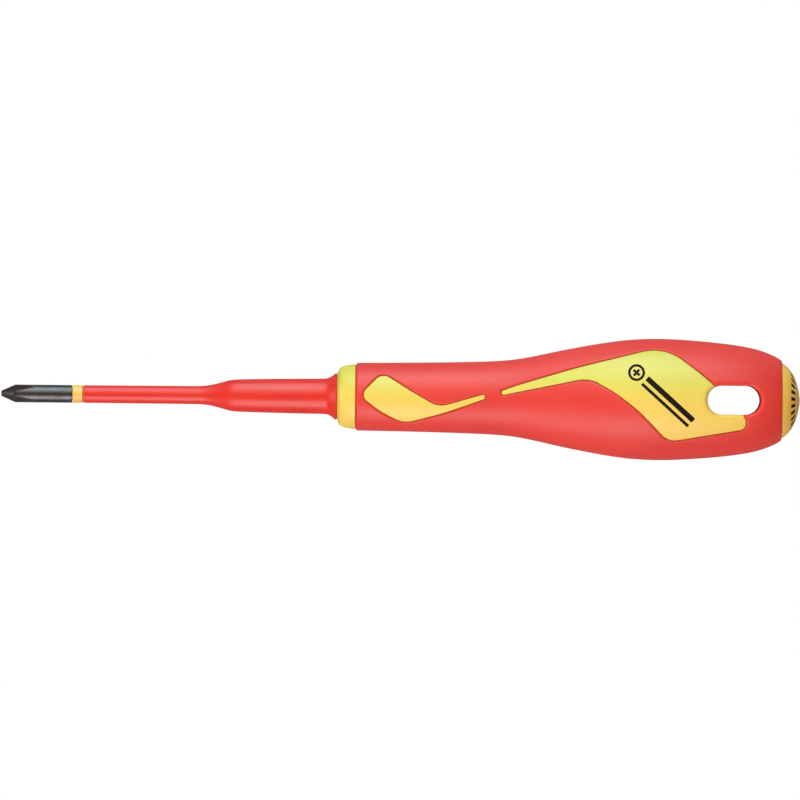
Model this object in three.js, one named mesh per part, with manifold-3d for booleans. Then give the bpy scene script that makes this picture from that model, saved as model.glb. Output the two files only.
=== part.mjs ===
// An insulated electrician's screwdriver with a cross-point tip and a hanging slot.
//
// Frame, in millimetres: the origin is the middle of the tip's flat end, +X runs along the tool
// towards the handle's end, and +Z is the direction in which the hanging slot goes through.
// Nothing on the tool moves. Its twelve pieces are moulded or pressed on one another, and touching
// pieces are drawn a little apart.

import * as THREE from "three";
import { mergeVertices } from "three/addons/utils/BufferGeometryUtils.js";
import Module from "manifold-3d";

const wasm = await Module();
wasm.setup();

// ---- Driving dimensions ----

const ROD_SEGMENTS = 20;
const HANDLE_SEGMENTS = 32;
const MOULD_GAP = 0.1; // between two turned layers
const CUT_GAP = 0.3; // round a piece that fills a cut-out
const INLAY_MARGIN = 0.2; // how far the panels reach past their outlines

// Blade
const TIP_FLAT_RADIUS = 0.6;
const TIP_CONE_LENGTH = 3.3;
const BLADE_RADIUS = 2.1;
const FLUTE_COUNT = 4;
const FLUTE_ROOT_RADIUS = 0.42; // from the axis to a flute's root, at the tip's end
const FLUTE_LENGTH = 7.6;
const NECK_RADIUS = 1.4; // the rod is thinner under the slim insulation
const NECK_START = 16.8;
const ROOT_TAPER_START = 48;
const ROOT_TAPER_END = 54;
const ROOT_RADIUS = 2.25;
const BLADE_END = 148;
const WING_START = 128;
const WING_END = 142;
const WING_TAPER = 2;
const WING_HALF_WIDTH = 3.75;
const WING_THICKNESS = 1.6;

// Insulation on the blade
const FIRST_LAYER_SLIM_RADIUS = 1.7;
const FIRST_LAYER_ROOT_RADIUS = 2.8;
const BAND_END = 19.5; // the first layer shows from the neck's start to here
const FIRST_LAYER_END = 98;
const FLANGE_RADIUS = 5.6;
const FLANGE_START = 79.4;
const FLANGE_END = 79.5;
const SPIGOT_RADIUS = 3.8; // the second layer goes on into the handle
const SPIGOT_START = 84;
const SPIGOT_END = 94;
const SPIGOT_GROOVE_DEPTH = 0.35;

// Handle
const COLLAR_START = 79.6;
const COLLAR_END = 84.1;
const NOSE_RADIUS = 4.9;
const GRIP_START = 84.2;
const GRIP_END = 185;
const GRIP_THICKNESS = 1.8;
const FLATNESS = 0.05; // how much thinner than wide the handle is at its middle
const CAP_START = 185.1;
const TOOL_LENGTH = 189.3;
const CAP_SPIGOT_RADIUS = 5;
const CAP_SPIGOT_LENGTH = 2.4;

// Torque core on the blade's tail
const ANCHOR_START = 98.4;
const ANCHOR_END = 152;
const ANCHOR_RADIUS = 4.3;
const ANCHOR_RIB_HEIGHT = 0.6;
const ANCHOR_RIB_COUNT = 3;

// Hanging slot
const SLOT_CENTRE = 173.6;
const SLOT_LENGTH = 12.7;
const SLOT_WIDTH = 6.85;
const LINER_THICKNESS = 1.2;

const REACH = 20; // longer than any radius, for cutting tools

// The grip's outline as [x, radius], from its front corner to its rear edge.
const GRIP_OUTLINE = [
  [84.5, 8.05],
  [98, 8.22],
  [110, 8.48],
  [118.4, 8.85],
  [124.3, 9.62],
  [132.6, 11.4],
  [140.9, 12.98],
  [148.5, 14.07],
  [156.3, 14.4],
  [164.6, 14.0],
  [172.9, 13.2],
  [178.8, 12.15],
  [182.4, 10.9],
  [184.4, 9.9],
  [GRIP_END, 9.25],
];

// Outlines of the yellow panels as corners [x, y, rounding radius], seen from above.
const FRONT_INLAY_CORNERS = [
  [85.4, 0.32, 1.63],
  [90.33, 5.36, 2.25],
  [96.67, 1.37, 15.2],
  [103.66, -2.6, 5.9],
  [114.46, 0.55, 0.2],
  [114.35, -0.08, 0.24],
  [104.79, -3.51, 73.5],
  [95.52, -5.95, 5.83],
  [90.05, -3.26, 22.2],
];
const REAR_INLAY_CORNERS = [
  [115.61, 0.28, 0.26],
  [122.71, 2.86, 30],
  [136.37, 7.04, 150],
  [156.93, 12.27, 11.1],
  [165.4, 5.94, 18.3],
  [170.28, 1.78, 0],
  [174.65, -1.9, 0],
  [176.95, -6.5, 1.5],
  [158.2, -9.71, 4.1],
  [151.36, -2.64, 31.7],
  [145.77, 1.61, 23.5],
  [139.3, 5.2, 7.7],
];

const STEEL = { color: 0x7c7d7f, roughness: 0.32, metalness: 0.9 };
const RED_SLEEVE = { color: 0xdd3528, roughness: 0.3, metalness: 0 };
const RED_GRIP = { color: 0xe0453c, roughness: 0.55, metalness: 0 };
const YELLOW = { color: 0xf8d65e, roughness: 0.4, metalness: 0 };
const DARK_YELLOW = { color: 0xe0ae4f, roughness: 0.4, metalness: 0 };
const NATURAL = { color: 0xcfc8b4, roughness: 0.5, metalness: 0 };

// ---- Shape helpers ----

// A solid turned round the X axis from a profile of [x, radius] points. The profile runs with its
// outer side from front to rear, and starts and ends on the axis or closes on itself.
function turned(profile, segments) {
  const points = profile.map(([x, radius]) => new THREE.Vector2(radius, x));
  return new THREE.LatheGeometry(points, segments).rotateZ(-Math.PI / 2);
}

// A ring between an outer and an inner profile, both given from front to rear.
function turnedRing(outer, inner, segments) {
  const back = [...inner].reverse();
  return turned([...outer, ...back, outer[0]], segments);
}

function solid(geometry) {
  const bare = geometry.clone();
  bare.deleteAttribute("normal");
  bare.deleteAttribute("uv");
  const merged = mergeVertices(bare, 1e-4);
  const mesh = new wasm.Mesh({
    numProp: 3,
    vertProperties: merged.attributes.position.array,
    triVerts: new Uint32Array(merged.index.array),
  });
  return new wasm.Manifold(mesh);
}

function geometryOf(manifold) {
  const mesh = manifold.getMesh();
  const geometry = new THREE.BufferGeometry();
  geometry.setAttribute("position", new THREE.BufferAttribute(mesh.vertProperties, 3));
  geometry.setIndex(new THREE.BufferAttribute(mesh.triVerts, 1));
  geometry.computeVertexNormals();
  return geometry;
}

function piece(name, geometry, finish) {
  const mesh = new THREE.Mesh(geometry, new THREE.MeshStandardMaterial(finish));
  mesh.name = name;
  return mesh;
}

// An upright prism with the given outline, from one height to another.
function prism(points, low, high) {
  const shape = new THREE.Shape(points);
  const geometry = new THREE.ExtrudeGeometry(shape, { depth: high - low, bevelEnabled: false });
  return solid(geometry.translate(0, 0, low));
}

// A closed outline through corners [x, y, radius], each rounded by an arc of its radius.
function roundedOutline(corners) {
  const path = new THREE.Path();
  const at = (i) => new THREE.Vector2(...corners[(i + corners.length) % corners.length]);
  const arcSteps = 4;
  corners.forEach(([x, y, radius], i) => {
    const corner = new THREE.Vector2(x, y);
    const toLast = at(i - 1).sub(corner).normalize();
    const toNext = at(i + 1).sub(corner).normalize();
    if (radius === 0) {
      if (i === 0) path.moveTo(x, y);
      else path.lineTo(x, y);
      return;
    }
    const half = Math.acos(toLast.dot(toNext)) / 2;
    const middle = toLast.clone().add(toNext).setLength(radius / Math.sin(half)).add(corner);
    const run = radius / Math.tan(half);
    const start = toLast.multiplyScalar(run).add(corner).sub(middle);
    const end = toNext.multiplyScalar(run).add(corner).sub(middle);
    path.absarc(middle.x, middle.y, radius, start.angle(), end.angle(), start.cross(end) < 0);
  });
  const points = path.getPoints(arcSteps);
  return points.filter((point, i) => i === 0 || point.distanceTo(points[i - 1]) > 1e-3);
}

// The same outline moved outwards by a distance, whichever way round it runs.
function grown(points, distance) {
  const outward = THREE.ShapeUtils.isClockWise(points) ? -distance : distance;
  return points.map((point, i) => {
    const last = points[(i + points.length - 1) % points.length];
    const next = points[(i + 1) % points.length];
    const before = point.clone().sub(last).normalize();
    const after = next.clone().sub(point).normalize();
    const side = new THREE.Vector2(before.y + after.y, -before.x - after.x);
    return side.multiplyScalar(outward / (1 + before.dot(after))).add(point);
  });
}

// The slot's outline, with straight sides and full-round ends, grown by a margin.
function slotOutline(margin) {
  const radius = SLOT_WIDTH / 2 + margin;
  const straight = (SLOT_LENGTH - SLOT_WIDTH) / 2;
  const quarter = Math.PI / 2;
  const path = new THREE.Path();
  path.absarc(SLOT_CENTRE + straight, 0, radius, -quarter, quarter);
  path.absarc(SLOT_CENTRE - straight, 0, radius, quarter, 3 * quarter);
  const endSteps = 5;
  return path.getPoints(endSteps);
}

// The grip's outside, taken in by a depth.
function gripSurface(depth) {
  const outline = GRIP_OUTLINE.map(([x, radius]) => new THREE.Vector2(x, radius));
  const stepsPerSpan = 2;
  const points = new THREE.SplineCurve(outline).getPoints(stepsPerSpan * (outline.length - 1));
  return points.map((point) => [point.x, point.y - depth]);
}

// Presses the handle's skins flatter in Z than in Y, most at mid length. The bores for the
// round torque core stay round.
function flattened(geometry) {
  const roundRadius = ANCHOR_RADIUS + ANCHOR_RIB_HEIGHT + 2 * MOULD_GAP;
  const position = geometry.attributes.position;
  for (let i = 0; i < position.count; i += 1) {
    const along = (position.getX(i) - GRIP_START) / (GRIP_END - GRIP_START);
    const inside = Math.hypot(position.getY(i), position.getZ(i)) < roundRadius;
    if (inside || along <= 0 || along >= 1) continue;
    const squash = FLATNESS * Math.sin(Math.PI * along) ** 2;
    position.setZ(i, position.getZ(i) * (1 - squash));
  }
  return geometry;
}

// A run of evenly spaced square steps on a turned profile, from start to end.
function stepped(start, end, count, radius, height) {
  const pitch = (end - start) / count;
  return Array.from({ length: count }, (_, i) => {
    const rise = start + (i + 0.3) * pitch;
    const fall = start + (i + 0.7) * pitch;
    return [
      [rise, radius],
      [rise, radius + height],
      [fall, radius + height],
      [fall, radius],
    ];
  }).flat();
}

// ---- Blade ----

// A V-shaped cutter whose root climbs from near the axis at the tip out through the rod's side.
function fluteCutter() {
  const tilt = Math.atan((BLADE_RADIUS - FLUTE_ROOT_RADIUS) / FLUTE_LENGTH);
  const notch = new THREE.Shape([
    new THREE.Vector2(0, 0),
    new THREE.Vector2(-REACH, -REACH),
    new THREE.Vector2(-REACH, REACH),
  ]);
  const overrun = 2;
  return new THREE.ExtrudeGeometry(notch, { depth: 2 * FLUTE_LENGTH, bevelEnabled: false })
    .translate(0, 0, -overrun)
    .rotateY(Math.PI / 2 - tilt)
    .translate(0, 0, FLUTE_ROOT_RADIUS);
}

function wingOutline(margin) {
  const corners = [
    [WING_START, -ROOT_RADIUS / 2],
    [WING_START + WING_TAPER, -WING_HALF_WIDTH],
    [WING_END - WING_TAPER, -WING_HALF_WIDTH],
    [WING_END, -ROOT_RADIUS / 2],
    [WING_END, ROOT_RADIUS / 2],
    [WING_END - WING_TAPER, WING_HALF_WIDTH],
    [WING_START + WING_TAPER, WING_HALF_WIDTH],
    [WING_START, ROOT_RADIUS / 2],
  ];
  const points = corners.map(([x, y]) => new THREE.Vector2(x, y));
  return grown(points, margin);
}

function wings(margin) {
  const half = WING_THICKNESS / 2 + margin;
  return prism(wingOutline(margin), -half, half);
}

function blade() {
  const tailChamfer = 0.6;
  const rod = turned(
    [
      [0, 0],
      [0, TIP_FLAT_RADIUS],
      [TIP_CONE_LENGTH, BLADE_RADIUS],
      [NECK_START, BLADE_RADIUS],
      [NECK_START, NECK_RADIUS],
      [ROOT_TAPER_START, NECK_RADIUS],
      [ROOT_TAPER_END, ROOT_RADIUS],
      [BLADE_END - tailChamfer, ROOT_RADIUS],
      [BLADE_END, ROOT_RADIUS - tailChamfer],
      [BLADE_END, 0],
    ],
    ROD_SEGMENTS,
  );
  let shape = solid(rod).add(wings(0));
  for (let i = 0; i < FLUTE_COUNT; i += 1) {
    const turn = ((i + 0.5) * 2 * Math.PI) / FLUTE_COUNT;
    shape = shape.subtract(solid(fluteCutter().rotateX(turn)));
  }
  return piece("blade", geometryOf(shape), STEEL);
}

// ---- Insulation ----

function innerInsulation() {
  const start = NECK_START + MOULD_GAP;
  const outer = [
    [start, BLADE_RADIUS],
    [BAND_END, BLADE_RADIUS],
    [BAND_END, FIRST_LAYER_SLIM_RADIUS],
    [ROOT_TAPER_START, FIRST_LAYER_SLIM_RADIUS],
    [ROOT_TAPER_END, FIRST_LAYER_ROOT_RADIUS],
    [FIRST_LAYER_END, FIRST_LAYER_ROOT_RADIUS],
  ];
  const inner = [
    [start, NECK_RADIUS + MOULD_GAP],
    [ROOT_TAPER_START, NECK_RADIUS + MOULD_GAP],
    [ROOT_TAPER_END, ROOT_RADIUS + MOULD_GAP],
    [FIRST_LAYER_END, ROOT_RADIUS + MOULD_GAP],
  ];
  return piece("inner_insulation", turnedRing(outer, inner, ROD_SEGMENTS), YELLOW);
}

// The second layer's spigot inside the handle, with grooves that lock the core to it.
function spigotProfile(margin) {
  const base = SPIGOT_RADIUS - SPIGOT_GROOVE_DEPTH + margin;
  const grooveCount = 2;
  return [
    [SPIGOT_START, SPIGOT_RADIUS + margin],
    ...stepped(SPIGOT_START, SPIGOT_END, grooveCount, base, SPIGOT_GROOVE_DEPTH),
  ];
}

function outerInsulation() {
  const shoulder = new THREE.SplineCurve(
    [
      [47.2, 2.15],
      [49.6, 2.42],
      [52, 3.03],
      [54.3, 3.66],
      [56.7, 3.84],
      [66.2, 4.06],
      [76, 4.18],
      [77.5, 4.34],
      [78.4, 4.88],
      [FLANGE_START, FLANGE_RADIUS],
    ].map(([x, radius]) => new THREE.Vector2(x, radius)),
  );
  const shoulderSteps = 12;
  const outer = [
    [BAND_END + MOULD_GAP, BLADE_RADIUS - 0.02],
    ...shoulder.getPoints(shoulderSteps).map((point) => [point.x, point.y]),
    [FLANGE_END, FLANGE_RADIUS],
    [FLANGE_END, SPIGOT_RADIUS],
    ...spigotProfile(0),
    [SPIGOT_END, SPIGOT_RADIUS - SPIGOT_GROOVE_DEPTH],
  ];
  const inner = [
    [BAND_END + MOULD_GAP, FIRST_LAYER_SLIM_RADIUS + MOULD_GAP],
    [ROOT_TAPER_START, FIRST_LAYER_SLIM_RADIUS + MOULD_GAP],
    [ROOT_TAPER_END, FIRST_LAYER_ROOT_RADIUS + MOULD_GAP],
    [SPIGOT_END, FIRST_LAYER_ROOT_RADIUS + MOULD_GAP],
  ];
  return piece("outer_insulation", turnedRing(outer, inner, ROD_SEGMENTS), RED_SLEEVE);
}

// ---- Handle ----

function anchorProfile(margin) {
  return [
    [ANCHOR_START - margin, ANCHOR_RADIUS + margin],
    ...stepped(
      ANCHOR_START,
      ANCHOR_END,
      ANCHOR_RIB_COUNT,
      ANCHOR_RADIUS + margin,
      ANCHOR_RIB_HEIGHT,
    ),
    [ANCHOR_END + margin, ANCHOR_RADIUS + margin],
  ];
}

function anchorCore() {
  const body = solid(
    turned([[ANCHOR_START, 0], ...anchorProfile(0), [ANCHOR_END, 0]], HANDLE_SEGMENTS),
  );
  const bore = solid(
    turned(
      [
        [ANCHOR_START - REACH, 0],
        [ANCHOR_START - REACH, ROOT_RADIUS + MOULD_GAP],
        [BLADE_END + MOULD_GAP, ROOT_RADIUS + MOULD_GAP],
        [BLADE_END + MOULD_GAP, 0],
      ],
      ROD_SEGMENTS,
    ),
  );
  const shape = body.subtract(bore).subtract(wings(CUT_GAP));
  return piece("anchor_core", geometryOf(shape), NATURAL);
}

function frontCollar() {
  const crown = new THREE.SplineCurve(
    [
      [COLLAR_START, 5.45],
      [79.9, 5.95],
      [80.25, 6.7],
      [80.8, 7.08],
      [81.9, 7.42],
      [COLLAR_END, 7.74],
    ].map(([x, radius]) => new THREE.Vector2(x, radius)),
  );
  const crownSteps = 5;
  const outer = crown.getPoints(crownSteps).map((point) => [point.x, point.y]);
  const inner = [
    [COLLAR_START, NOSE_RADIUS + MOULD_GAP],
    [COLLAR_END, NOSE_RADIUS + MOULD_GAP],
  ];
  return piece("front_collar", turnedRing(outer, inner, HANDLE_SEGMENTS), YELLOW);
}

function slotHole(margin) {
  return prism(slotOutline(margin), -REACH, REACH);
}

function handleCore(rearPanel) {
  const socketDepth = CAP_SPIGOT_LENGTH + MOULD_GAP;
  const skin = gripSurface(GRIP_THICKNESS + MOULD_GAP);
  const rear = GRIP_END - MOULD_GAP;
  const inside = skin.filter(([x]) => x < rear);
  const lastRadius = skin.at(-1)[1];
  const outer = [
    [COLLAR_START + MOULD_GAP, NOSE_RADIUS],
    [GRIP_START, NOSE_RADIUS],
    [GRIP_START, skin[0][1]],
    ...inside,
    [rear, lastRadius],
  ];
  const socketRadius = CAP_SPIGOT_RADIUS + MOULD_GAP;
  const body = turned(
    [
      [COLLAR_START + MOULD_GAP, 0],
      ...outer,
      [rear, socketRadius],
      [rear - socketDepth, socketRadius],
      [rear - socketDepth, 0],
    ],
    HANDLE_SEGMENTS,
  );
  const bore = turned(
    [
      [COLLAR_START - REACH, 0],
      [COLLAR_START - REACH, SPIGOT_RADIUS + MOULD_GAP],
      ...spigotProfile(MOULD_GAP),
      [SPIGOT_END + MOULD_GAP, SPIGOT_RADIUS - SPIGOT_GROOVE_DEPTH + MOULD_GAP],
      [SPIGOT_END + MOULD_GAP, FIRST_LAYER_ROOT_RADIUS + MOULD_GAP],
      [ANCHOR_START - MOULD_GAP, FIRST_LAYER_ROOT_RADIUS + MOULD_GAP],
      ...anchorProfile(MOULD_GAP),
      [ANCHOR_END + MOULD_GAP, 0],
    ],
    HANDLE_SEGMENTS,
  );
  // The soft liner takes the slot's wall wherever the rear panels don't reach it.
  const linerSpace = slotHole(LINER_THICKNESS + CUT_GAP).subtract(prism(rearPanel, -REACH, REACH));
  const shape = solid(flattened(body))
    .subtract(solid(bore))
    .subtract(slotHole(0))
    .subtract(linerSpace);
  return piece("handle_core", geometryOf(shape), YELLOW);
}

// The soft skin as a closed shell, before it is cut.
function gripShell() {
  const cornerRadius = 0.3;
  const outside = gripSurface(0);
  const inside = gripSurface(GRIP_THICKNESS);
  const outer = [[GRIP_START, outside[0][1] - cornerRadius], ...outside];
  const inner = [[GRIP_START, inside[0][1]], ...inside];
  return solid(flattened(turnedRing(outer, inner, HANDLE_SEGMENTS)));
}

function grip(shell, frontPanel, rearPanel) {
  const windows = [frontPanel, rearPanel].map((panel) => grown(panel, CUT_GAP));
  let skin = shell;
  for (const outline of windows) {
    skin = skin.subtract(prism(outline, 0, REACH));
    skin = skin.subtract(prism(outline, -REACH, 0));
  }
  // The liner fills the wall of the slot between the two faces.
  const core = solid(flattened(turned(closedCore(), HANDLE_SEGMENTS)));
  const liner = slotHole(LINER_THICKNESS)
    .intersect(core)
    .subtract(prism(windows[1], -REACH, REACH));
  const shape = skin.add(liner).subtract(slotHole(0));
  return piece("grip", geometryOf(shape), RED_GRIP);
}

// A filled handle up to the middle of the soft skin, which bounds the liner.
function closedCore() {
  const skin = gripSurface(GRIP_THICKNESS / 2);
  return [[skin[0][0], 0], ...skin, [skin.at(-1)[0], 0]];
}

// A panel on the upper face, flush with the grip; the lower one is its mirror image.
function inlays(name, shell, outline) {
  const shape = prism(outline, 0, REACH).intersect(shell).subtract(slotHole(0));
  const top = piece(name + "_top", geometryOf(shape), YELLOW);
  const bottom = piece(name + "_bottom", geometryOf(shape), YELLOW);
  bottom.scale.z = -1;
  return [top, bottom];
}

function endCap() {
  const dome = new THREE.SplineCurve(
    [
      [CAP_START, 8.95],
      [186.2, 8.1],
      [187.1, 7.08],
      [188.1, 5.28],
      [188.95, 2.72],
      [TOOL_LENGTH, 0],
    ].map(([x, radius]) => new THREE.Vector2(x, radius)),
  );
  const domeSteps = 7;
  const spigotStart = CAP_START - CAP_SPIGOT_LENGTH;
  const profile = [
    [spigotStart, 0],
    [spigotStart, CAP_SPIGOT_RADIUS],
    [CAP_START, CAP_SPIGOT_RADIUS],
    ...dome.getPoints(domeSteps).map((point) => [point.x, point.y]),
  ];
  return piece("end_cap", turned(profile, HANDLE_SEGMENTS), DARK_YELLOW);
}

// ---- Assembly ----

const frontPanel = grown(roundedOutline(FRONT_INLAY_CORNERS), INLAY_MARGIN);
const rearPanel = grown(roundedOutline(REAR_INLAY_CORNERS), INLAY_MARGIN);
const shell = gripShell();

const rod = new THREE.Group();
rod.add(blade(), innerInsulation(), outerInsulation());

const handle = new THREE.Group();
handle.add(anchorCore(), handleCore(rearPanel), frontCollar(), endCap());
handle.add(grip(shell, frontPanel, rearPanel));
handle.add(...inlays("front_inlay", shell, frontPanel));
handle.add(...inlays("rear_inlay", shell, rearPanel));

const screwdriver = new THREE.Group();
screwdriver.add(rod, handle);

export default screwdriver;
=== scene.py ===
"""Looks of an insulated screwdriver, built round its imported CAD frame.

The frame's +X runs from the driver tip to the end cap and +Z goes through the hanging slot. Shapes are
worked out in millimetres and turned into metres when a mesh is made. The handle is the same above and
below its middle plane, so its skins are built on the upper half and mirrored.
"""

import math

import bpy
import numpy as np
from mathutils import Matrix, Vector, geometry, kdtree


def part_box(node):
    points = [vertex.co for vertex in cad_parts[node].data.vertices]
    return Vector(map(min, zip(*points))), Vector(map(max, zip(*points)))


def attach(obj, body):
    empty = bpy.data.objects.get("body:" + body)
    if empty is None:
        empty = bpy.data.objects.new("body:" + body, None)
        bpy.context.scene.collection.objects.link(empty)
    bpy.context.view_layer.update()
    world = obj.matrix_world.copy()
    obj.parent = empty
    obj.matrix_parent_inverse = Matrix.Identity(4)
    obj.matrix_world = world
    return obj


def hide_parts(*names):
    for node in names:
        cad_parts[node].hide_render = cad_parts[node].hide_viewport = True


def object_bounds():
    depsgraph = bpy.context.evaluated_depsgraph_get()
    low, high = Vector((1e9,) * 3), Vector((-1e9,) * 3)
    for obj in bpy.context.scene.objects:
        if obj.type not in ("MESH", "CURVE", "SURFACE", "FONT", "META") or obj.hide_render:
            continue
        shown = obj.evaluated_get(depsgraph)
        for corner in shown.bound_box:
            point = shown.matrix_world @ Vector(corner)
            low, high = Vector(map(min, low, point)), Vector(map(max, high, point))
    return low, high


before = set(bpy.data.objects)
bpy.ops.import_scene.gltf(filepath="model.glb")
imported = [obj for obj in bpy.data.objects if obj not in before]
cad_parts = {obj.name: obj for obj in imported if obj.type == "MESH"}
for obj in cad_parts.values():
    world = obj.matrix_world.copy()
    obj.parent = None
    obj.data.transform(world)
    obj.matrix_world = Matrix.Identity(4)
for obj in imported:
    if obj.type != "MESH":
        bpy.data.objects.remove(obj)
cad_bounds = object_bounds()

MM = 0.001
BODY = "root"

# ---- Sizes, in millimetres ----

MOULD_GAP = 0.1  # between two layers that are moulded on each other
PANEL_GROWTH, WINDOW_GROWTH = 0.27, 0.34  # the joint round each yellow panel, outside its outline
GRIP_THICKNESS = 1.8
CORE_DEPTH = GRIP_THICKNESS + MOULD_GAP
PANEL_FLOOR = CORE_DEPTH - 0.01
FLATNESS = 0.05  # how much thinner than wide the handle is at its middle
LINER_THICKNESS = 1.2  # soft wall of the hanging slot
SLOT_FILLET = 1.15
GRIP_LIP = 0.55  # rounding of the grip's edge beside a panel
PANEL_LIP = 0.25
FRONT_ROUND = 0.35  # rounding of the grip's front and rear corners
REAR_ROUND = 0.25
SKIN_INSET = 0.02  # keeps the smooth skin inside the frame's box

SLOT_CENTRE = 173.6
SLOT_LENGTH = 12.7
SLOT_WIDTH = 6.85

# Panel outlines seen from above, as corners (x, y, rounding radius).
FRONT_PANEL = [
    (85.4, 0.32, 1.63),
    (90.33, 5.36, 2.25),
    (96.67, 1.37, 15.2),
    (103.66, -2.6, 5.9),
    (114.46, 0.55, 0.2),
    (114.35, -0.08, 0.24),
    (104.79, -3.51, 73.5),
    (95.52, -5.95, 5.83),
    (90.05, -3.26, 22.2),
]
REAR_PANEL = [
    (115.61, 0.28, 0.26),
    (122.71, 2.86, 30),
    (136.37, 7.04, 150),
    (156.93, 12.27, 11.1),
    (165.4, 5.94, 18.3),
    (170.28, 1.78, 0),
    (174.65, -1.9, 0),
    (176.95, -6.5, 1.5),
    (158.2, -9.71, 4.1),
    (151.36, -2.64, 31.7),
    (145.77, 1.61, 23.5),
    (139.3, 5.2, 7.7),
]

# Printed mark on the rear panels: a ring with a cross for the tip's form, then two plain bars.
MARK_CENTRE = (156.2, 1.1)
MARK_ANGLE = math.radians(-42)
MARK_LENGTH = 19.6
MARK_RING_RADIUS = 2.0
MARK_LINE = 0.6
MARK_BARS = ((0.7, 1.3), (-1.1, 0.75))  # (middle across the mark, width)

# Blade: its outline as corners (x, radius, rounding radius), then its flutes and tail wings.
BLADE = [
    (0.0, 0.0, 0),
    (0.0, 0.6, 0.06),
    (3.3, 2.1, 1.2),
    (16.8, 2.1, 0.1),
    (16.8, 1.4, 0),
    (48.0, 1.4, 6),
    (54.0, 2.25, 6),
    (148.0, 2.25, 0.6),
    (148.0, 0.0, 0),
]
BLADE_RADIUS = 2.1
TAIL_RADIUS = 2.25
FLUTE_ROOT_RADIUS = 0.42  # from the axis to a flute's root, at the tip's end
FLUTE_LENGTH = 7.6
WING_SPAN = (128, 142)
WING_TAPER = 2
WING_HALF_WIDTH = 3.75
WING_HALF_THICKNESS = 0.8

# The narrow joints behind the yellow band, and before and behind the front collar. Each has a
# neighbour's lip as its floor, which is painted dark red as shade in the groove.
BAND_GROOVE = (19.23, 19.5)
FRONT_GROOVE_END = 79.66
REAR_GROOVE_START = 83.93
FRONT_GROOVE_DEPTH, REAR_GROOVE_DEPTH = 0.25, 0.45
HAIRLINE = 0.02  # between a lip and the piece before or behind it, and between the grip and the cap

# The first layer as a closed outline, from the front of the outside and back along the inside.
FIRST_LAYER = [
    (16.9, 2.1, 0.14),
    (BAND_GROOVE[0], 2.1, 0.06),
    (BAND_GROOVE[0], 1.96, 0),
    (BAND_GROOVE[1] - HAIRLINE, 1.96, 0),
    (BAND_GROOVE[1] - HAIRLINE, 1.7, 0),
    (48.0, 1.7, 8),
    (54.0, 2.8, 8),
    (98.0, 2.8, 0.2),
    (98.0, 2.35, 0),
    (54.0, 2.35, 8),
    (48.0, 1.5, 8),
    (16.9, 1.5, 0.08),
]
SHOULDER_EASE = 1.0  # smooths the second layer's shoulder over this length to each side
FLANGE = [(79.32, 5.6), (79.42, 5.6)]
SPIGOT_RADIUS = 3.8
SPIGOT_GROOVE = 0.35
SPIGOT_SPAN = (84, 94)
SPIGOT_RIBS = 2
ANCHOR_SPAN = (98.4, 152)
ANCHOR_RADIUS = 4.3
ANCHOR_RIB_HEIGHT = 0.6
ANCHOR_RIBS = 3
NOSE_RADIUS = 4.9
CAP_SPIGOT_RADIUS = 5.0
CAP_SPIGOT_LENGTH = 2.4

# Printed ring of ticks on the end cap: radii, and how much of each step a tick fills.
CAP_MARK_RADII = (5.1, 7.0)
CAP_MARKS = 24
CAP_MARK_SHARE = 0.5

# Painted light: the yellow plastic turns greener towards +Y between these stations across the tool, give
# or take the wave.
LIGHT_TINT_SPAN = (-1.5, 4.5)
LIGHT_TINT_WAVE = 2.0

GRID = 1.0  # spacing of the points inside a skin
FINE = 0.35  # spacing of the points along its edges

# ---- Plane outlines ----


def unit(vector):
    return vector / np.linalg.norm(vector)


def rounded_path(corners, spacing=None, closed=True):
    """Points along a path through corners (x, y, radius), each rounded by an arc. With a spacing, no
    two neighbours are further apart than that."""
    finest_turn = math.radians(11)
    count = len(corners)
    points = []
    for i, (x, y, radius) in enumerate(corners):
        corner = np.array((x, y), float)
        if radius == 0 or (not closed and i in (0, count - 1)):
            points.append(corner)
            continue
        back = unit(np.array(corners[i - 1][:2]) - corner)
        onward = unit(np.array(corners[(i + 1) % count][:2]) - corner)
        half = math.acos(np.clip(back @ onward, -1, 1)) / 2
        centre = corner + unit(back + onward) * radius / math.sin(half)
        start = corner + back * radius / math.tan(half) - centre
        end = corner + onward * radius / math.tan(half) - centre
        first = math.atan2(start[1], start[0])
        turn = (math.atan2(end[1], end[0]) - first + math.pi) % (2 * math.pi) - math.pi
        steps = math.ceil(abs(turn) / finest_turn)
        if spacing:
            steps = max(steps, math.ceil(abs(turn) * radius / spacing))
        for angle in first + turn * np.arange(steps + 1) / steps:
            points.append(centre + radius * np.array((math.cos(angle), math.sin(angle))))
    path = np.array(points)
    apart = np.linalg.norm(np.roll(path, -1, axis=0) - path, axis=1) > 1e-4
    apart[-1] |= not closed
    path = path[apart]
    return divided(path, spacing, closed) if spacing else path


def divided(path, spacing, closed=True):
    """The same path with its long straight spans divided evenly."""
    ends = np.roll(path, -1, axis=0) if closed else path[1:]
    points = []
    for a, b in zip(path, ends):
        steps = max(1, math.ceil(np.linalg.norm(b - a) / spacing))
        points.extend(a + (b - a) * k / steps for k in range(steps))
    if not closed:
        points.append(path[-1])
    return np.array(points)


def spline(points, steps, after=None):
    """A smooth line through points, with each span in so many steps. after is where it would go on."""
    p = np.asarray(points, float)
    last = 2 * p[-1] - p[-2] if after is None else after
    p = np.vstack((2 * p[0] - p[1], p, last))
    t = np.arange(steps)[:, None] / steps
    spans = [
        b + t * (c - a) / 2 + t**2 * (2 * a - 5 * b + 4 * c - d) / 2 + t**3 * (3 * b - a - 3 * c + d) / 2
        for a, b, c, d in zip(p, p[1:], p[2:], p[3:])
    ]
    return np.concatenate((*spans, p[-2:-1]))


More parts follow.
